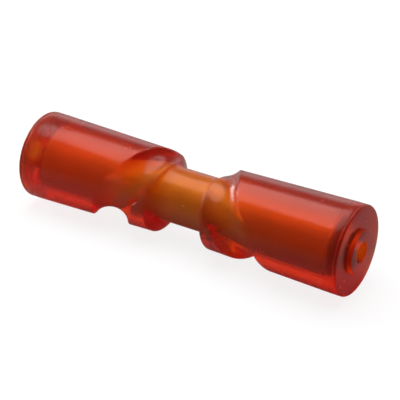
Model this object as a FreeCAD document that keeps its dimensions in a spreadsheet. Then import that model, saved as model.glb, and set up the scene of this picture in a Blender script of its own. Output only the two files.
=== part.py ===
import FreeCAD, Part

import os

import Sketcher

# Self-centring keel roller of a boat trailer, moulded in clear polyurethane on a rigid tube.
# The roller turns about Y. The origin is the middle of its bore and +Z is up.
# Both halves are alike: the -Y half is the mirror image of the +Y half.
# Lengths are in millimetres and angles in degrees. An angle around the roller starts at +X
# and grows towards +Z.

SIZES = (
    ("body_length", 302.0, "moulded body, rim to rim"),
    ("end_diameter", 75.0, "body at both ends"),
    ("end_band", 11.0, "straight band beside each rim"),
    ("rim_chamfer", 1.7, "chamfer of each rim"),
    ("shoulder_diameter", 69.3, "body where the cone meets the seat's flank"),
    ("seat_mouth", 54.0, "keel seat, shoulder to shoulder"),
    ("shoulder_round", 1.8, "radius of each shoulder"),
    ("waist_diameter", 46.8, "bottom of the keel seat"),
    ("waist_length", 40.6, "bottom of the keel seat, flank to flank"),
    ("waist_round", 4.0, "radius between the bottom and each flank"),
    ("boss_diameter", 37.0, "thrust boss on each end face"),
    ("boss_height", 3.8, "how far each boss stands out"),
    ("boss_chamfer", 0.7, "chamfer of each boss's outer edge"),
    ("bore_diameter", 17.0, "bore for the spindle"),
    ("bore_chamfer", 0.75, "chamfer at each mouth of the bore"),
    ("core_diameter", 34.0, "rigid tube inside the body"),
    ("core_length", 274.0, "rigid tube, end to end"),
    ("groove_radius", 19.0, "round section of the guide groove"),
    ("joint_swell", 0.02, "how far the ball at each station is larger than the section"),
    ("groove_depth", 8.8, "groove's floor below the cone, as far as the step"),
    ("end_depth", 10.0, "groove's floor below the cone at its far end"),
    ("start_place", 12.0, "groove's start, from the middle of the roller"),
    ("start_angle", 134.5, "groove's start, angle around the roller"),
    ("step_place", 45.6, "start of the step outwards"),
    ("step_angle", 22.5, "start of the step, angle around the roller"),
    ("rest_place", 51.8, "end of the step outwards"),
    ("rest_angle", 14.5, "end of the step, angle around the roller"),
    ("end_place", 76.2, "groove's far end"),
    ("end_angle", -90.5, "groove's far end, angle around the roller"),
)

RIM = "Sizes.body_length / 2"
BAND = "(Sizes.body_length / 2 - Sizes.end_band)"
BOSS_FACE = "(Sizes.body_length / 2 + Sizes.boss_height)"
END_RADIUS = "Sizes.end_diameter / 2"
SHOULDER = "Sizes.seat_mouth / 2"
SHOULDER_RADIUS = "Sizes.shoulder_diameter / 2"
WAIST = "Sizes.waist_length / 2"
WAIST_RADIUS = "Sizes.waist_diameter / 2"
BOSS_RADIUS = "Sizes.boss_diameter / 2"
BORE_RADIUS = "Sizes.bore_diameter / 2"
CORE_RADIUS = "Sizes.core_diameter / 2"
CORE_END = "Sizes.core_length / 2"
TAPER = f"(({END_RADIUS} - {SHOULDER_RADIUS}) / ({BAND} - {SHOULDER}))"

STATIONS = ("start", "step", "rest", "end")

EDGE_TOLERANCE = 0.01

document = FreeCAD.newDocument("KeelRoller")


def fill_sheet():
    """Write the driving dimensions into the document's sheet."""
    sheet = document.addObject("Spreadsheet::Sheet", "Sizes")
    for row, (alias, value, meaning) in enumerate(SIZES, start=1):
        sheet.set(f"A{row}", alias)
        sheet.set(f"B{row}", str(value))
        sheet.set(f"C{row}", meaning)
        sheet.setAlias(f"B{row}", alias)
    document.recompute()
    return sheet


sizes = fill_sheet()


def value_of(expression):
    """Return the number that an expression on the sheet comes to."""
    return float(sizes.evalExpression(expression))


def base_plane(body, role):
    """Return one of the body's own origin planes."""
    return next(plane for plane in body.Origin.OriginFeatures if plane.Role == role)


def add_sketch(body, name, role):
    """Add a sketch to the body on one of its origin planes."""
    sketch = body.newObject("Sketcher::SketchObject", name)
    sketch.AttachmentSupport = [(base_plane(body, role), "")]
    sketch.MapMode = "FlatFace"
    return sketch


def place_corner(sketch, line, axis, expression):
    """Hold the start of a line at a distance from the sketch's origin along one axis."""
    kind = ("DistanceX", "DistanceY")[axis]
    other_axis = (-2, -1)[axis]
    if expression == "0":
        sketch.addConstraint(Sketcher.Constraint("PointOnObject", line, 1, other_axis))
        return
    place = value_of(expression)
    held = sketch.addConstraint(Sketcher.Constraint(kind, -1, 1, line, 1, place))
    name = f"{kind}{line}"
    sketch.renameConstraint(held, name)
    sketch.setExpression(f"Constraints.{name}", expression)


def draw_outline(sketch, corners):
    """Draw a closed outline whose corners are expressions on the sheet, radius first."""
    places = [
        FreeCAD.Vector(value_of(radius), value_of(along), 0) for radius, along in corners
    ]
    for start, end in zip(places, places[1:] + places[:1]):
        sketch.addGeometry(Part.LineSegment(start, end), False)
    count = len(corners)
    for line in range(count):
        sketch.addConstraint(
            Sketcher.Constraint("Coincident", line, 2, (line + 1) % count, 1)
        )
    for line, (radius, along) in enumerate(corners):
        place_corner(sketch, line, 0, radius)
        place_corner(sketch, line, 1, along)


def turn(body, kind, name, corners):
    """Turn an outline about Y as a revolved or a grooved feature of the body."""
    sketch = add_sketch(body, f"{name}_profile", "XY_Plane")
    draw_outline(sketch, corners)
    feature = body.newObject(kind, name)
    feature.Profile = sketch
    feature.ReferenceAxis = (sketch, ["V_Axis"])
    feature.Angle = 360
    sketch.Visibility = False
    document.recompute()
    return feature


def circular_edges(shape, radius, along):
    """Name the shape's round edges of one radius at one distance either side of the middle."""
    names = []
    for number, edge in enumerate(shape.Edges, start=1):
        if not isinstance(edge.Curve, Part.Circle):
            continue
        off_radius = abs(edge.Curve.Radius - radius)
        off_place = abs(abs(edge.Curve.Center.y) - along)
        if max(off_radius, off_place) < EDGE_TOLERANCE:
            names.append(f"Edge{number}")
    return names


def soften_edges(body, kind, name, radius, along, size):
    """Round or chamfer a pair of the body's circular edges by a size from the sheet."""
    before = body.Tip
    names = circular_edges(before.Shape, value_of(radius), value_of(along))
    if not names:
        raise ValueError(f"{name}: no edge to soften")
    softened = body.newObject(f"PartDesign::{kind}", name)
    softened.Base = (before, names)
    softened.setExpression("Radius" if kind == "Fillet" else "Size", f"Sizes.{size}")
    document.recompute()
    return softened


def make_blank():
    """Turn the ungrooved body: two cones, the keel seat between them and the end bosses."""
    body = document.addObject("PartDesign::Body", "Blank")
    half = turn(
        body,
        "PartDesign::Revolution",
        "Half",
        [
            ("0", "0"),
            (WAIST_RADIUS, "0"),
            (WAIST_RADIUS, WAIST),
            (SHOULDER_RADIUS, SHOULDER),
            (END_RADIUS, BAND),
            (END_RADIUS, RIM),
            (BOSS_RADIUS, RIM),
            (BOSS_RADIUS, BOSS_FACE),
            ("0", BOSS_FACE),
        ],
    )
    mirrored = body.newObject("PartDesign::Mirrored", "OtherHalf")
    mirrored.Originals = [half]
    mirrored.MirrorPlane = (base_plane(body, "XZ_Plane"), [""])
    body.Tip = mirrored
    document.recompute()
    soften_edges(body, "Fillet", "WaistRound", WAIST_RADIUS, WAIST, "waist_round")
    soften_edges(body, "Fillet", "ShoulderRound", SHOULDER_RADIUS, SHOULDER, "shoulder_round")
    soften_edges(body, "Chamfer", "RimChamfer", END_RADIUS, RIM, "rim_chamfer")
    soften_edges(body, "Chamfer", "BossChamfer", BOSS_RADIUS, BOSS_FACE, "boss_chamfer")
    mouth = "(Sizes.bore_diameter / 2 + Sizes.bore_chamfer)"
    chamfer_end = f"({BOSS_FACE} - Sizes.bore_chamfer)"
    turn(
        body,
        "PartDesign::Groove",
        "Hollow",
        [
            ("0", f"-{BOSS_FACE}"),
            (mouth, f"-{BOSS_FACE}"),
            (BORE_RADIUS, f"-{chamfer_end}"),
            (BORE_RADIUS, f"-{CORE_END}"),
            (CORE_RADIUS, f"-{CORE_END}"),
            (CORE_RADIUS, CORE_END),
            (BORE_RADIUS, CORE_END),
            (BORE_RADIUS, chamfer_end),
            (mouth, BOSS_FACE),
            ("0", BOSS_FACE),
        ],
    )
    return body


def cone_radius(along):
    """Give the cone's radius at a distance from the middle, as an expression."""
    return f"({SHOULDER_RADIUS} + ({along} - {SHOULDER}) * {TAPER})"


def cutter_centre(station):
    """Give how far the cutter's centre is from Y at a station, as an expression."""
    depth = "Sizes.end_depth" if station == "end" else "Sizes.groove_depth"
    return f"({cone_radius(f'Sizes.{station}_place')} - {depth} + Sizes.groove_radius)"


def make_joint(station):
    """Make the ball that rounds the groove's void at a station."""
    ball = document.addObject("Part::Sphere", f"{station}_ball")
    ball.setExpression("Radius", "Sizes.groove_radius + Sizes.joint_swell")
    centre = cutter_centre(station)
    angle = f"Sizes.{station}_angle"
    ball.setExpression(".Placement.Base.x", f"{centre} * cos({angle})")
    ball.setExpression(".Placement.Base.y", f"Sizes.{station}_place")
    ball.setExpression(".Placement.Base.z", f"{centre} * sin({angle})")
    return ball


def make_run(start, end):
    """Sweep the groove's section along a helix from one station to the next.

    The run is made on +X, with its helix about Y falling away from +Z as it goes
    outwards. It is then turned about Y and moved along it to its first station.
    """
    length = f"(Sizes.{end}_place - Sizes.{start}_place)"
    turned = f"(Sizes.{start}_angle - Sizes.{end}_angle)"
    pitch = f"({length} * 360 / {turned})"
    radius = cutter_centre(start)

    path = document.addObject("Part::Helix", f"{start}_path")
    path.setExpression("Pitch", pitch)
    path.setExpression("Height", length)
    path.setExpression("Radius", radius)
    path.setExpression("Angle", f"atan(({cutter_centre(end)} - {radius}) / {length})")

    # The section stands square to the path where the path starts.
    section = document.addObject("Part::Circle", f"{start}_section")
    section.setExpression("Radius", "Sizes.groove_radius")
    section.setExpression(".Placement.Base.x", radius)
    section.Placement.Rotation = FreeCAD.Rotation(FreeCAD.Vector(1, 0, 0), 1.0)
    lead_angle = f"atan({pitch} / (2 * pi * {radius}))"
    section.setExpression(".Placement.Rotation.Angle", f"90 deg + {lead_angle}")

    run = document.addObject("Part::Sweep", f"{start}_run")
    run.Sections = [section]
    run.Spine = (path, ["Edge1"])
    run.Solid = True
    run.Frenet = True
    return run


def place_run(run, start):
    """Lay a run along Y and turn it to its first station's angle."""
    laid = document.addObject("Part::Compound", f"{start}_laid")
    laid.Links = [run]
    laid.Placement.Rotation = FreeCAD.Rotation(FreeCAD.Vector(1, 0, 0), -90.0)
    turned = document.addObject("Part::Compound", f"{start}_turned")
    turned.Links = [laid]
    turned.Placement.Rotation = FreeCAD.Rotation(FreeCAD.Vector(0, -1, 0), 1.0)
    turned.setExpression(".Placement.Rotation.Angle", f"Sizes.{start}_angle")
    turned.setExpression(".Placement.Base.y", f"Sizes.{start}_place")
    return turned


def make_groove_void():
    """Join the groove's runs and the balls between them, on the +Y half."""
    shapes = [make_joint(station) for station in STATIONS]
    for start, end in zip(STATIONS, STATIONS[1:]):
        shapes.append(place_run(make_run(start, end), start))
    void = document.addObject("Part::MultiFuse", "GrooveVoid")
    void.Shapes = shapes
    document.recompute()
    return void


def mirror_across_middle(source):
    """Mirror a void to the -Y half."""
    mirrored = document.addObject("Part::Mirroring", f"{source.Name}_mirrored")
    mirrored.Source = source
    mirrored.Normal = FreeCAD.Vector(0, 1, 0)
    document.recompute()
    return mirrored


def cut_from(base, tool, name):
    """Take a void out of a shape."""
    cut = document.addObject("Part::Cut", name)
    cut.Base = base
    cut.Tool = tool
    document.recompute()
    return cut


def make_roller_body():
    """Cut the guide groove into the blank, once on each half and of opposite hands."""
    void = make_groove_void()
    grooved = cut_from(make_blank(), void, "GroovedOneSide")
    grooved = cut_from(grooved, mirror_across_middle(void), "GroovedBothSides")
    grooved.Label = "roller_body"
    return grooved


def make_core_tube():
    """Make the rigid tube that the body is moulded on, which lines the bore."""
    body = document.addObject("PartDesign::Body", "CoreTube")
    turn(
        body,
        "PartDesign::Revolution",
        "TubeWall",
        [
            (BORE_RADIUS, f"-{CORE_END}"),
            (CORE_RADIUS, f"-{CORE_END}"),
            (CORE_RADIUS, CORE_END),
            (BORE_RADIUS, CORE_END),
        ],
    )
    body.Label = "core_tube"
    return body


def check_document(pieces):
    """Stop if any object failed or any piece is not a sound single solid."""
    for thing in document.Objects:
        if "Invalid" in thing.State or "Error" in thing.State:
            raise RuntimeError(f"{thing.Name}: {thing.State}")
    for piece in pieces:
        shape = piece.Shape
        if shape.isNull() or not shape.isValid() or len(shape.Solids) != 1:
            raise RuntimeError(f"{piece.Label}: the shape is not one valid solid")


def export(pieces):
    """Write each piece to a file named after its label."""
    os.makedirs("parts", exist_ok=True)
    for piece in pieces:
        piece.Shape.exportStep(os.path.join("parts", f"{piece.Label}.step"))
        print(f"{piece.Label}: {piece.Shape.Volume / 1000.0:.1f} cm3")


pieces = [make_roller_body(), make_core_tube()]
document.recompute()
check_document(pieces)
export(pieces)
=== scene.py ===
"""Keel roller of a boat trailer, moulded in see-through polyurethane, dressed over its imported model.

The bore lies along Y and +Z is up, in metres. An angle around the roller starts at +X and grows
towards +Z. Both halves are alike, so a distance along the roller is counted from its middle.
"""

import logging
import math
from dataclasses import dataclass
from enum import Enum
from typing import Any, Callable, Iterable, Mapping, Optional, Sequence, Union

import bmesh
import bpy
import numpy as np
from mathutils import Matrix, Vector


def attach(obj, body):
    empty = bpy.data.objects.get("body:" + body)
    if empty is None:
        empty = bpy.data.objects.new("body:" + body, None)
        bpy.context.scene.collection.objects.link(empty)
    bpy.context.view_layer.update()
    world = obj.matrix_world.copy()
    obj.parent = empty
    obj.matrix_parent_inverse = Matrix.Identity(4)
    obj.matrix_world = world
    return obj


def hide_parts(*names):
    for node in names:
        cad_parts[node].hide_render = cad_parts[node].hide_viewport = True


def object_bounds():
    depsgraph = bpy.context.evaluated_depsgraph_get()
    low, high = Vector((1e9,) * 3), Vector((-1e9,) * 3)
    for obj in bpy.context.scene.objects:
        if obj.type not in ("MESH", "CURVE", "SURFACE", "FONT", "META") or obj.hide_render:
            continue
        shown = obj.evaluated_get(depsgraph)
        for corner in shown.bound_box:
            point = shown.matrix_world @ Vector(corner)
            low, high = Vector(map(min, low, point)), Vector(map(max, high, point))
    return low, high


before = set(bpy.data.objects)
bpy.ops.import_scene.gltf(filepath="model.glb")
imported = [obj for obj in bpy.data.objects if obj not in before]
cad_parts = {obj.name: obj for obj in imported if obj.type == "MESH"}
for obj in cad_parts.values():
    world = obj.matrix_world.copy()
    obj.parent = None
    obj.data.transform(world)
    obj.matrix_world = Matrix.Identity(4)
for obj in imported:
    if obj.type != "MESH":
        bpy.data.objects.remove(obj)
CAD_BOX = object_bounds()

LOG = logging.getLogger("keel_roller")
MM = 0.001
ORIGIN = (0.0, 0.0, 0.0)
SPIN_AXIS = (0.0, 1.0, 0.0)
WELD = 0.002 * MM
SHARP_ANGLE = math.radians(42.0)

# Sizes that the body, the tube and their finishes share, in millimetres
BORE_RADIUS = 8.5
CORE_RADIUS = 17.0
CORE_END = 137.0


class Slot(Enum):
    """The record's material slots, one for each piece."""

    URETHANE = "clear_polyurethane"
    CORE = "rigid_core"


class Node(Enum):
    """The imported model's nodes."""

    BODY = "roller_body"
    CORE = "core_tube"


# Shader nodes


class Wire:
    """One value in a node tree, which can be written in a sum like a number."""

    def __init__(self, bench: "Bench", socket: bpy.types.NodeSocket) -> None:
        """Keep the socket that gives the value.

        Args:
            bench: The node tree's bench, which adds the Math nodes.
            socket: An output socket.
        """
        self.bench = bench
        self.socket = socket

    def _math(self, operation: str, *others: "Value", flipped: bool = False) -> "Wire":
        """Put this value and others through one Math node.

        Args:
            operation: The Math node's operation.
            others: The operation's other values.
            flipped: True if this value comes after the other one.

        Returns:
            The node's result.
        """
        values = [self, *others]
        if flipped:
            values.reverse()
        node = self.bench.add("ShaderNodeMath", {"operation": operation}, dict(enumerate(values)))
        return Wire(self.bench, node.outputs[0])

    def __add__(self, other: "Value") -> "Wire":
        """Add a value."""
        return self._math("ADD", other)

    def __radd__(self, other: "Value") -> "Wire":
        """Add this to a number."""
        return self._math("ADD", other)

    def __sub__(self, other: "Value") -> "Wire":
        """Take a value away."""
        return self._math("SUBTRACT", other)

    def __rsub__(self, other: "Value") -> "Wire":
        """Take this away from a number."""
        return self._math("SUBTRACT", other, flipped=True)

    def __mul__(self, other: "Value") -> "Wire":
        """Multiply by a value."""
        return self._math("MULTIPLY", other)

    def __rmul__(self, other: "Value") -> "Wire":
        """Multiply a number by this."""
        return self._math("MULTIPLY", other)

    def __abs__(self) -> "Wire":
        """Give the size without its sign."""
        return self._math("ABSOLUTE")

    def larger(self, other: "Value") -> "Wire":
        """Give the larger of two values."""
        return self._math("MAXIMUM", other)

    def power(self, exponent: "Value") -> "Wire":
        """Raise to a power."""
        return self._math("POWER", exponent)

    def step(self, start: float, end: float) -> "Wire":
        """Rise smoothly from 0 at start to 1 at end.

        Args:
            start: The largest value that gives 0.
            end: The smallest value that gives 1.

        Returns:
            A value from 0 to 1.
        """
        node = self.bench.add(
            "ShaderNodeMapRange",
            {"interpolation_type": "SMOOTHSTEP"},
            {"Value": self, "From Min": start, "From Max": end},
        )
        return Wire(self.bench, node.outputs[0])


Value = Union[Wire, float]
Feed = Union[Wire, bpy.types.NodeSocket, float, Sequence[float]]
Colour = Union[bpy.types.NodeSocket, Sequence[float]]
Distance = Union[float, np.ndarray]


class Bench:
    """A node tree in the making."""

    def __init__(self, tree: bpy.types.NodeTree) -> None:
        """Start from an empty tree.

        Args:
            tree: The tree of a material or of the world.
        """
        self.tree = tree
        tree.nodes.clear()

    def add(
        self,
        kind: str,
        settings: Optional[Mapping[str, Any]] = None,
        feeds: Optional[Mapping[Union[str, int], Feed]] = None,
    ) -> bpy.types.Node:
        """Add one node, make its settings and then feed its sockets.

        Args:
            kind: The node's type.
            settings: Its properties.
            feeds: What each input gets, by its name or number.

        Returns:
            The node.
        """
        node = self.tree.nodes.new(kind)
        for name, value in (settings or {}).items():
            setattr(node, name, value)
        for name, feed in (feeds or {}).items():
            socket = node.inputs[name]
            if isinstance(feed, Wire):
                self.tree.links.new(feed.socket, socket)
            elif isinstance(feed, bpy.types.NodeSocket):
                self.tree.links.new(feed, socket)
            else:
                socket.default_value = feed
        return node

    def place(self) -> bpy.types.NodeSocket:
        """Give the point on the piece, in the row's frame."""
        return self.add("ShaderNodeTexCoord").outputs["Object"]

    def axes(self) -> tuple[Wire, Wire, Wire]:
        """Give the point's three distances, each as a value."""
        node = self.add("ShaderNodeSeparateXYZ", feeds={0: self.place()})
        return tuple(Wire(self, socket) for socket in node.outputs)

    def noise(self, scale: float, detail: float = 2.0, stretch: Sequence[float] = (1, 1, 1)) -> Wire:
        """Give a soft random pattern.

        Args:
            scale: Patches to a metre.
            detail: How many finer layers it has.
            stretch: How much closer together the patches are along each axis.

        Returns:
            A value about 0.5.
        """
        turned = self.add("ShaderNodeMapping", feeds={"Vector": self.place(), "Scale": stretch})
        node = self.add(
            "ShaderNodeTexNoise",
            feeds={"Vector": turned.outputs[0], "Scale": scale, "Detail": detail},
        )
        return Wire(self, node.outputs["Fac"])

    def blend(self, factor: Value, first: Colour, second: Colour) -> bpy.types.NodeSocket:
        """Mix two colours.

        Args:
            factor: How much of the second there is.
            first: A colour, or the socket that gives it.
            second: A colour, or the socket that gives it.

        Returns:
            The mixed colour's socket.
        """
        first, second = (
            colour if isinstance(colour, bpy.types.NodeSocket) else (*colour, 1.0)
            for colour in (first, second)
        )
        # The Mix node takes its colours in inputs 6 and 7, and gives their mix in output 2.
        node = self.add("ShaderNodeMix", {"data_type": "RGBA"}, {0: factor, 6: first, 7: second})
        return node.outputs[2]

    def bump(self, height: Wire, depth: float) -> bpy.types.NodeSocket:
        """Turn a height from 0 to 1 into a bent normal.

        Args:
            height: The height.
            depth: The depth of the whole range, in metres.

        Returns:
            The normal's socket.
        """
        return self.add("ShaderNodeBump", feeds={"Distance": depth, "Height": height}).outputs[0]

    def rays(self, *kinds: str) -> Wire:
        """Give 1 for rays of any of these kinds.

        Args:
            kinds: Light Path's outputs.

        Returns:
            A value of 0 or 1.
        """
        path = self.add("ShaderNodeLightPath")
        first, *others = (Wire(self, path.outputs[kind]) for kind in kinds)
        for other in others:
            first = first.larger(other)
        return first


def new_material(name: str) -> tuple[bpy.types.Material, Bench]:
    """Add a material with an empty node tree.

    Args:
        name: The material's name.

    Returns:
        The material and the bench of its tree.
    """
    material = bpy.data.materials.new(name)
    material.use_nodes = True
    return material, Bench(material.node_tree)


@dataclass(frozen=True)
class ClearUrethane:
    """Glossy see-through polyurethane, amber where it is thin and deep red where it is thick."""

    bends_light: float = 1.5
    absorbed_per_metre: tuple[float, float, float] = (2.5, 50.0, 200.0)
    smoothest: float = 0.20
    roughest: float = 0.28
    inner_shine: float = 0.1
    gloss: float = 0.42
    seat_gloss: float = 0.25
    end_gloss: float = 0.22
    gloss_roughness: float = 0.15
    seat: float = 25.0 * MM
    seat_fade: float = 5.0 * MM
    end: float = 150.0 * MM
    end_fade: float = 2.0 * MM
    haze: tuple[float, float, float] = (0.88, 0.15, 0.05)
    haze_share: float = 0.33
    end_haze: float = 0.5
    core_end: float = CORE_END * MM
    band_fade: float = 5.0 * MM
    haze_roughness: float = 0.6
    haze_clear: float = 0.9
    peel_depth: float = 0.02 * MM
    peel_scale: float = 260.0
    patch_scale: float = 38.0
    patch_span: tuple[float, float] = (0.42, 0.72)
    smudge_scale: float = 90.0
    smudge_span: tuple[float, float] = (0.40, 0.75)
    smudge_stretch: tuple[float, float, float] = (1.0, 0.6, 1.0)
    clean_tint: tuple[float, float, float] = (1.0, 0.985, 0.965)
    hazy_tint: tuple[float, float, float] = (0.95, 0.93, 0.90)
    seat_tint: tuple[float, float, float] = (1.0, 0.82, 0.70)
    end_tint: tuple[float, float, float] = (1.0, 0.62, 0.50)

    def _skin(self, bench: Bench, clear: float, feeds: Mapping[str, Feed]) -> bpy.types.NodeSocket:
        """Add one of the two shaders that the surface is mixed from.

        Args:
            bench: The material's bench.
            clear: How much light the shader lets in.
            feeds: What its colour, roughness, normal and gloss get.

        Returns:
            The shader's socket.
        """
        dull = (self.inner_shine,) * 3
        common = {
            "IOR": self.bends_light,
            "Specular Tint": (*dull, 1.0),
            "Transmission Weight": clear,
        }
        return bench.add("ShaderNodeBsdfPrincipled", feeds={**common, **feeds}).outputs[0]

    def make(self) -> bpy.types.Material:
        """Build the finish.

        Returns:
            The material.
        """
        material, bench = new_material("clear_urethane")
        patches = bench.noise(self.patch_scale, detail=3.0).step(*self.patch_span)
        smudge = bench.noise(self.smudge_scale, 4.0, self.smudge_stretch).step(*self.smudge_span)
        normal = bench.bump(bench.noise(self.peel_scale), self.peel_depth)
        along = abs(bench.axes()[1])
        in_seat = 1.0 - along.step(self.seat - self.seat_fade, self.seat)
        on_end = along.step(self.end - self.end_fade, self.end)
        flank_tint = bench.blend(patches, self.clean_tint, self.hazy_tint)
        wall_tint = bench.blend(in_seat, flank_tint, self.seat_tint)
        gloss = self.gloss + in_seat * (self.seat_gloss - self.gloss)
        gloss = gloss + on_end * (self.end_gloss - self.gloss)
        clear = self._skin(
            bench,
            1.0,
            {
                "Base Color": bench.blend(on_end, wall_tint, self.end_tint),
                "Roughness": self.smoothest + smudge * (self.roughest - self.smoothest),
                "Coat Weight": gloss,
                "Coat Roughness": self.gloss_roughness,
                "Coat IOR": self.bends_light,
                "Normal": normal,
            },
        )
        hazy = self._skin(
            bench,
            self.haze_clear,
            {
                "Base Color": (*self.haze, 1.0),
                "Roughness": self.haze_roughness,
                "Normal": normal,
            },
        )
        in_band = along.step(self.core_end, self.core_end + self.band_fade)
        hazed = self.haze_share + in_band * (self.end_haze - self.haze_share)
        surface = bench.add("ShaderNodeMixShader", feeds={0: hazed, 1: clear, 2: hazy})
        # The node absorbs its density times what its colour lacks of white.
        density = max(self.absorbed_per_metre)
        colour = [1.0 - share / density for share in self.absorbed_per_metre]
        depth = bench.add(
            "ShaderNodeVolumeAbsorption", feeds={"Color": (*colour, 1.0), "Density": density}
        )
        bench.add(
            "ShaderNodeOutputMaterial",
            feeds={"Surface": surface.outputs[0], "Volume": depth.outputs[0]},
        )
        return material


@dataclass(frozen=True)
class RigidTube:
    """Satin tan tube that the urethane is cast on, with faint rings from its drawing."""

    light: tuple[float, float, float] = (0.84, 0.77, 0.45)
    dark: tuple[float, float, float] = (0.76, 0.69, 0.40)
    # Painted shade: the bore is coloured dark red, standing in for the shade inside it.
    bore: tuple[float, float, float] = (0.75, 0.10, 0.04)
    bore_radius: float = BORE_RADIUS * MM
    bore_skin: tuple[float, float] = (0.5 * MM, 1.0 * MM)
    # Painted shade: the tube's end faces and a thin strip beside them are coloured dark, standing in
    # for shade.
    painted_end_shade: tuple[float, float, float] = (0.30, 0.16, 0.10)
    end: float = CORE_END * MM
    end_shade_strip: tuple[float, float] = (1.5 * MM, 0.3 * MM)
    cloud_scale: float = 25.0
    cloud_span: tuple[float, float] = (0.35, 0.7)
    cloud_stretch: tuple[float, float, float] = (1.0, 0.4, 1.0)
    roughness: float = 0.42
    lustre: float = 0.3
    ring_depth: float = 0.03 * MM
    ring_roughness: float = 0.1
    ring_scale: float = 60.0
    ring_stretch: tuple[float, float, float] = (0.05, 6.0, 0.05)

    def make(self) -> bpy.types.Material:
        """Build the finish.

        Returns:
            The material.
        """
        material, bench = new_material("rigid_tube")
        cloud = bench.noise(self.cloud_scale, 4.0, self.cloud_stretch).step(*self.cloud_span)
        rings = bench.noise(self.ring_scale, 3.0, self.ring_stretch)
        across, along, up = bench.axes()
        radius = (across * across + up * up).power(0.5)
        # Painted shade: the surface inside the bore gets the dark red bore colour.
        in_bore = 1.0 - radius.step(*(self.bore_radius + depth for depth in self.bore_skin))
        # Painted shade: the tube's end faces go dark, standing in for shade.
        end_shade = abs(along).step(*(self.end - width for width in self.end_shade_strip))
        outside = bench.blend(end_shade, bench.blend(cloud, self.light, self.dark), self.painted_end_shade)
        shader = bench.add(
            "ShaderNodeBsdfPrincipled",
            feeds={
                "Base Color": bench.blend(in_bore, outside, self.bore),
                "Roughness": self.roughness + rings * self.ring_roughness,
                "Metallic": self.lustre,
                "Normal": bench.bump(rings, self.ring_depth),
            },
        )
        bench.add("ShaderNodeOutputMaterial", feeds={"Surface": shader.outputs[0]})
        return material


@dataclass(frozen=True)
class PaleFloor:
    """Plain pale floor, which shows as white and keeps the roller's shadow."""

    colour: tuple[float, float, float] = (0.33, 0.33, 0.33)
    glow: float = 0.05
    seen_colour: tuple[float, float, float] = (0.16, 0.16, 0.16)
    seen_glow: float = 0.84
    roughness: float = 0.9

    def make(self) -> bpy.types.Material:
        """Build the finish.

        Returns:
            The material.
        """
        material, bench = new_material("pale_floor")
        seen = bench.rays("Is Camera Ray")
        bent = bench.rays("Is Glossy Ray", "Is Transmission Ray")
        glow = bench.blend(bent, (0.0, 0.0, 0.0), (self.glow,) * 3)
        shader = bench.add(
            "ShaderNodeBsdfPrincipled",
            feeds={
                "Base Color": bench.blend(seen, self.colour, self.seen_colour),
                "Roughness": self.roughness,
                "Specular IOR Level": 0.0,
                "Emission Color": bench.blend(seen, glow, (self.seen_glow,) * 3),
                "Emission Strength": 1.0,
            },
        )
        bench.add("ShaderNodeOutputMaterial", feeds={"Surface": shader.outputs[0]})
        return material


# Meshes


class Outline:
    """A closed outline in the plane of the bore, which is rounded, divided and then turned."""

    def __init__(self, corners: Iterable[tuple[float, float]]) -> None:
        """Draw the outline with straight sides.

        Args:
            corners: Each corner's radius and its distance along the roller, in millimetres.
        """
        self.mesh = bmesh.new()
        self.corners = [
            self.mesh.verts.new((radius * MM, along * MM, 0.0)) for radius, along in corners
        ]
        for corner, following in zip(self.corners, self.corners[1:] + self.corners[:1]):
            self.mesh.edges.new((corner, following))

    def round_corner(self, number: int, radius: float, segments: int) -> None:
        """Round one corner.

        Args:
            number: Which corner, in the order that they were given.
            radius: The arc's radius in millimetres.
            segments: How many sides the arc has.
        """
        corner = self.corners[number]
        ways = [(edge.other_vert(corner).co - corner.co).normalized() for edge in corner.link_edges]
        cut = radius * MM / math.tan(ways[0].angle(ways[1]) / 2.0)
        bmesh.ops.bevel(
            self.mesh,
            geom=[corner],
            offset=cut,
            offset_type="OFFSET",
            segments=segments,
            profile=0.5,
            affect="VERTICES",
            material=-1,
        )

    def divide(self, longest: Callable[[float, float], float]) -> None:
        """Divide the sides, so that the turned mesh gets enough rings.

        Args:
            longest: Gives the longest side allowed, in millimetres, at a radius and a distance
                from the roller's middle.
        """
        groups: dict[int, list[bmesh.types.BMEdge]] = {}
        for edge in self.mesh.edges:
            middle = (edge.verts[0].co + edge.verts[1].co) / (2.0 * MM)
            limit = longest(middle.x, abs(middle.y)) * MM
            cuts = math.ceil(edge.calc_length() / limit) - 1
            if cuts > 0:
                groups.setdefault(cuts, []).append(edge)
        for cuts, edges in groups.items():
            bmesh.ops.subdivide_edges(self.mesh, edges=edges, cuts=cuts)

    def turn(self, name: str, start: float, columns: int) -> bpy.types.Object:
        """Turn the outline about the bore into a closed piece.

        Args:
            name: The piece's name.
            start: The angle at which the first column lies, in degrees.
            columns: How many columns the piece has.

        Returns:
            The piece.
        """
        mesh = self.mesh
        turned = Matrix.Rotation(-math.radians(start), 3, "Y")
        bmesh.ops.rotate(mesh, verts=mesh.verts, cent=ORIGIN, matrix=turned)
        bmesh.ops.spin(
            mesh,
            geom=mesh.verts[:] + mesh.edges[:],
            cent=ORIGIN,
            axis=SPIN_AXIS,
            angle=math.tau,
            steps=columns,
            use_merge=True,
        )
        bmesh.ops.remove_doubles(mesh, verts=mesh.verts, dist=WELD)
        bmesh.ops.recalc_face_normals(mesh, faces=mesh.faces)
        data = bpy.data.meshes.new(name)
        mesh.to_mesh(data)
        mesh.free()
        piece = bpy.data.objects.new(name, data)
        bpy.context.scene.collection.objects.link(piece)
        return piece


def soften(piece: bpy.types.Object) -> None:
    """Shade a piece smooth, apart from its sharp corners."""
    piece.data.shade_smooth()
    piece.data.set_sharp_from_angle(angle=SHARP_ANGLE)


@dataclass(frozen=True)
class Station:
    """A point that the guide groove's cutter passes, in millimetres and degrees."""

    along: float
    angle: float


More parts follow.
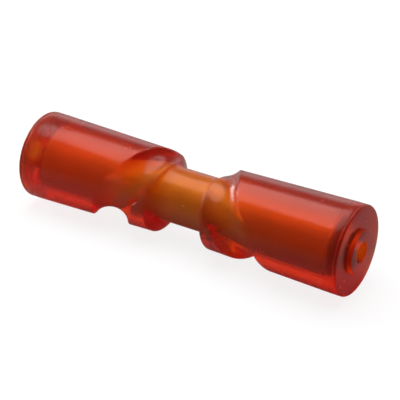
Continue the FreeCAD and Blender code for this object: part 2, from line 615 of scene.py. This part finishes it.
@dataclass
class MouldedBody:
    """The see-through body: two cones, the keel seat, the mirrored guide grooves and the bosses.

    Its cavity grips the tube: it is a touch smaller, so that no film of air shows between them.
    """

    waist_radius: float = 23.4
    waist_end: float = 20.3
    shoulder_radius: float = 34.65
    shoulder: float = 27.0
    end_radius: float = 37.5
    band: float = 140.0
    neck: float = 147.9
    neck_width: float = 1.8
    neck_depth: float = 0.5
    rim: float = 151.0
    boss_radius: float = 18.5
    boss_face: float = 154.8
    bore_radius: float = BORE_RADIUS
    chamfer: float = 0.75
    core_end: float = CORE_END
    core_radius: float = CORE_RADIUS
    grip: float = 0.05
    waist_round: float = 4.0
    shoulder_round: float = 1.8
    rim_round: float = 2.0
    boss_round: float = 0.8
    slack: float = 0.5
    groove_end: float = 99.0
    cutter: float = 19.0
    groove_depth: float = 8.8
    route: tuple[Station, ...] = (
        Station(12.0, 134.5),
        Station(45.6, 22.5),
        Station(51.8, 14.5),
        Station(76.2, -90.5),
    )
    route_step: float = 0.5
    beside_groove: float = 1.0e3
    points_at_once: int = 4000
    ridge_blend: float = 1.4
    seam_angle: float = -11.4
    seam_height: float = 0.08
    seam_width: float = 0.5
    seam_margin: float = 0.1
    column_share: float = 0.3
    columns: int = 336
    seat_ring: float = 3.0
    seat_margin: float = 4.0
    flank_ring: float = 0.75
    cone_ring: float = 0.92
    end_ring: float = 6.0
    hidden_ring: float = 400.0

    def _half(self) -> list[tuple[float, float]]:
        """Give the corners of the +Y half, from the middle to the cavity's end.

        Returns:
            Each corner's radius and its distance from the middle.
        """
        return [
            (self.waist_radius, self.waist_end),
            (self.shoulder_radius, self.shoulder),
            (self.cone_radius(self.groove_end), self.groove_end),
            (self.end_radius, self.band),
            (self.end_radius, self.neck - self.neck_width / 2.0),
            (self.end_radius - self.neck_depth, self.neck),
            (self.end_radius, self.neck + self.neck_width / 2.0),
            (self.end_radius, self.rim),
            (self.boss_radius, self.rim),
            (self.boss_radius, self.boss_face),
            (self.bore_radius + self.chamfer, self.boss_face),
            (self.bore_radius, self.boss_face - self.chamfer),
            (self.bore_radius, self.core_end - self.grip),
            (self.core_radius - self.grip, self.core_end - self.grip),
        ]

    def _rounds(self) -> list[tuple[int, float, int]]:
        """Give the half's rounded corners.

        Returns:
            For each one its place among the half's corners, its radius and how many sides it has.
        """
        return [
            (0, self.waist_round, 6),
            (1, self.shoulder_round, 5),
            (7, self.rim_round, 6),
            (9, self.boss_round, 4),
        ]

    def cone_radius(self, along: Distance) -> Distance:
        """Give the cone's radius at a distance from the middle, or at several."""
        taper = (self.end_radius - self.shoulder_radius) / (self.band - self.shoulder)
        return self.shoulder_radius + (along - self.shoulder) * taper

    def _longest_side(self, radius: float, along: float) -> float:
        """Say how wide a ring may be: narrow where the grooves run, and wide elsewhere.

        Args:
            radius: The ring's radius.
            along: The ring's distance from the middle.

        Returns:
            The ring's greatest width.
        """
        if radius < self.core_radius + self.slack and along < self.core_end:
            return self.hidden_ring
        if along < self.waist_end - self.seat_margin:
            return self.seat_ring
        if along < self.shoulder:
            return self.flank_ring
        if along < self.groove_end:
            return self.cone_ring
        return self.end_ring

    def _turn_blank(self) -> bpy.types.Object:
        """Turn the body without its grooves.

        Returns:
            The piece, with plain cones.
        """
        half = self._half()
        other = [(radius, -along) for radius, along in reversed(half)]
        outline = Outline(half + other)
        last = len(half + other) - 1
        for number, radius, segments in self._rounds():
            outline.round_corner(number, radius, segments)
            outline.round_corner(last - number, radius, segments)
        outline.divide(self._longest_side)
        return outline.turn("moulded_body", self.seam_angle, self.columns)

    def _route_points(self) -> tuple[np.ndarray, np.ndarray]:
        """Give the cutter's centres along the route.

        Returns:
            Their angles around the roller, in radians, and their distances from the middle.
        """
        stations = self.route[::-1]
        angles = [station.angle for station in stations]
        places = [station.along for station in stations]
        count = int((angles[-1] - angles[0]) / self.route_step) + 1
        angle = np.linspace(angles[0], angles[-1], count)
        return np.radians(angle), np.interp(angle, angles, places)

    def _groove_radius(self, angle: np.ndarray, along: np.ndarray) -> np.ndarray:
        """Find how far out the groove's wall is.

        The cutter is a ball whose centre keeps one distance from the bore's axis, so the groove
        gets deeper as the cone widens. Its depth is given at the route's first station.

        Args:
            angle: Angles around the roller, in radians.
            along: Distances from the middle.

        Returns:
            The radius where the groove starts, and a very large one beside the groove.
        """
        turned, place = self._route_points()
        centre = self.cone_radius(self.route[0].along) - self.groove_depth + self.cutter
        found = np.full(angle.shape, self.beside_groove)
        for first in range(0, len(angle), self.points_at_once):
            part = slice(first, first + self.points_at_once)
            off = (angle[part, None] - turned[None, :] + np.pi) % math.tau - np.pi
            near = centre * np.cos(off)
            reach = self.cutter**2 - (centre * np.sin(off)) ** 2 - (along[part, None] - place) ** 2
            wall = near - np.sqrt(np.maximum(reach, 0.0))
            inside = (reach > 0.0) & (near > 0.0)
            found[part] = np.where(inside, wall, self.beside_groove).min(axis=1)
        return found

    def _carve(self, piece: bpy.types.Object) -> None:
        """Sink the guide grooves into the blank and raise the mould's seam.

        Args:
            piece: The blank, whose vertices are moved.
        """
        mesh = piece.data
        flat = np.empty(len(mesh.vertices) * 3)
        mesh.vertices.foreach_get("co", flat)
        points = flat.reshape(-1, 3) / MM
        radius = np.hypot(points[:, 0], points[:, 2])
        angle = np.arctan2(points[:, 2], points[:, 0])
        along = np.abs(points[:, 1])

        cut = (radius > self.waist_radius - self.slack) & (along < self.groove_end)
        wall = self._groove_radius(angle[cut], along[cut])
        blank = radius[cut]
        # The crest between wall and blank is lowered most where the two meet.
        close = np.clip(1.0 - np.abs(wall - blank) / self.ridge_blend, 0.0, 1.0)
        radius[cut] = np.minimum(wall, blank) - close**2 * self.ridge_blend / 4.0

        # The seam lies on two sides of the roller, half a turn apart.
        seam = math.radians(self.seam_angle)
        from_seam = (angle - seam + np.pi / 2) % np.pi - np.pi / 2
        spacing = math.tau / self.columns
        outside = (radius > self.boss_radius + self.slack) & (along < self.rim - self.seam_margin)
        on_seam = outside & (np.abs(from_seam) < self.column_share * spacing)
        nearby = np.abs(from_seam) < (1.0 + self.column_share) * spacing
        beside = outside & ~on_seam & nearby
        half_width = self.seam_width / 2.0 / radius
        angle[beside] += (np.sign(from_seam) * half_width - from_seam)[beside]
        radius[on_seam] += self.seam_height

        points[:, 0] = radius * np.cos(angle)
        points[:, 2] = radius * np.sin(angle)
        mesh.vertices.foreach_set("co", (points * MM).ravel())
        mesh.update()

    def build(self) -> bpy.types.Object:
        """Make the body and dress it.

        Returns:
            The piece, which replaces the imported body.
        """
        piece = self._turn_blank()
        self._carve(piece)
        soften(piece)
        piece.data.materials.append(ClearUrethane().make())
        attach(piece, "root")
        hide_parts(Node.BODY.value)
        return piece


@dataclass
class CoreTube:
    """The rigid tube inside the body, which lines the bore."""

    outer_radius: float = CORE_RADIUS
    bore_radius: float = BORE_RADIUS
    end: float = CORE_END
    edge_round: float = 0.3
    edge_sides: int = 3
    ring: float = 30.0
    columns: int = 128

    def build(self) -> bpy.types.Object:
        """Make the tube and dress it.

        Returns:
            The piece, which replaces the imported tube.
        """
        outline = Outline(
            [
                (self.bore_radius, -self.end),
                (self.outer_radius, -self.end),
                (self.outer_radius, self.end),
                (self.bore_radius, self.end),
            ]
        )
        for number in (1, 2):
            outline.round_corner(number, self.edge_round, self.edge_sides)
        outline.divide(lambda radius, along: self.ring)
        piece = outline.turn("core_tube_lining", 0.0, self.columns)
        soften(piece)
        piece.data.materials.append(RigidTube().make())
        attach(piece, "root")
        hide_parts(Node.CORE.value)
        return piece


# Studio


@dataclass(frozen=True)
class SoftBox:
    """An oval lamp that faces the roller."""

    name: str
    place: tuple[float, float, float]
    width: float
    height: float
    power: float

    def build(self) -> None:
        """Hang the lamp."""
        lamp = bpy.data.lights.new(self.name, "AREA")
        lamp.shape = "ELLIPSE"
        lamp.size = self.width
        lamp.size_y = self.height
        lamp.energy = self.power
        holder = bpy.data.objects.new(self.name, lamp)
        bpy.context.scene.collection.objects.link(holder)
        holder.location = self.place
        holder.rotation_euler = Vector(self.place).to_track_quat("Z", "Y").to_euler()


@dataclass
class Studio:
    """The floor, the lamps, the world's light and the camera."""

    floor_size: float = 12.0
    air: float = 0.12
    sweep: float = 0.9
    sweep_way: tuple[float, float, float] = (-0.85, -0.53, 0.0)
    sweep_edge: tuple[float, float] = (-0.1, 0.6)
    sweep_top: tuple[float, float] = (0.26, 0.46)
    lamps: tuple[SoftBox, ...] = (
        SoftBox("top_box", (-0.17, -0.12, 1.02), 1.4, 1.24, 16.5),
        SoftBox("far_box", (-0.10, -1.10, 0.20), 0.6, 0.5, 7.0),
    )
    lens: float = 147.29
    sensor: float = 36.0
    nearest: float = 0.05
    farthest: float = 50.0
    eye: tuple[float, float, float] = (0.98295, 0.61582, 0.67740)
    right: tuple[float, float, float] = (-0.52683, 0.84997, 0.0)
    up: tuple[float, float, float] = (-0.42869, -0.26571, 0.86350)
    forward: tuple[float, float, float] = (-0.73395, -0.45491, -0.50436)

    def _lay_floor(self) -> None:
        """Lay the floor under the roller."""
        mesh = bmesh.new()
        bmesh.ops.create_grid(mesh, x_segments=1, y_segments=1, size=self.floor_size / 2.0)
        bmesh.ops.translate(mesh, verts=mesh.verts, vec=(0.0, 0.0, CAD_BOX[0][2]))
        data = bpy.data.meshes.new("floor")
        mesh.to_mesh(data)
        mesh.free()
        floor = bpy.data.objects.new("floor", data)
        bpy.context.scene.collection.objects.link(floor)
        data.materials.append(PaleFloor().make())

    def _light_world(self) -> None:
        """Light the world evenly, with a brighter sweep low down behind the roller."""
        world = bpy.data.worlds.new("studio_air")
        world.use_nodes = True
        bench = Bench(world.node_tree)
        way = bench.add("ShaderNodeTexCoord").outputs["Generated"]
        height = Wire(bench, bench.add("ShaderNodeSeparateXYZ", feeds={0: way}).outputs[2])
        facing = bench.add(
            "ShaderNodeVectorMath", {"operation": "DOT_PRODUCT"}, {0: way, 1: self.sweep_way}
        )
        behind = Wire(bench, facing.outputs["Value"]).step(*self.sweep_edge)
        low = 1.0 - height.step(*self.sweep_top)
        light = self.air + behind * low * self.sweep
        background = bench.add(
            "ShaderNodeBackground", feeds={"Color": (1.0, 1.0, 1.0, 1.0), "Strength": light}
        )
        bench.add("ShaderNodeOutputWorld", feeds={"Surface": background.outputs[0]})
        bpy.context.scene.world = world

    def _set_camera(self) -> None:
        """Stand the camera where the photograph was taken from."""
        camera = bpy.data.cameras.new("camera")
        camera.lens = self.lens
        camera.sensor_width = self.sensor
        camera.sensor_fit = "HORIZONTAL"
        camera.clip_start = self.nearest
        camera.clip_end = self.farthest
        holder = bpy.data.objects.new("camera", camera)
        bpy.context.scene.collection.objects.link(holder)
        back = -Vector(self.forward)
        turned = Matrix((self.right, self.up, back)).transposed()
        holder.matrix_world = Matrix.Translation(self.eye) @ turned.to_4x4()
        bpy.context.scene.camera = holder

    def build(self) -> None:
        """Set the studio up."""
        bpy.context.scene.view_settings.view_transform = "Standard"
        self._lay_floor()
        for lamp in self.lamps:
            lamp.build()
        self._light_world()
        self._set_camera()


def main() -> None:
    """Build the studio and the roller's pieces in order."""
    logging.basicConfig(level=logging.INFO, format="%(name)s: %(message)s")
    Studio().build()
    for part in (MouldedBody(), CoreTube()):
        piece = part.build()
        LOG.info("%s: %d faces", piece.name, len(piece.data.polygons))


if __name__ == "__main__":
    main()
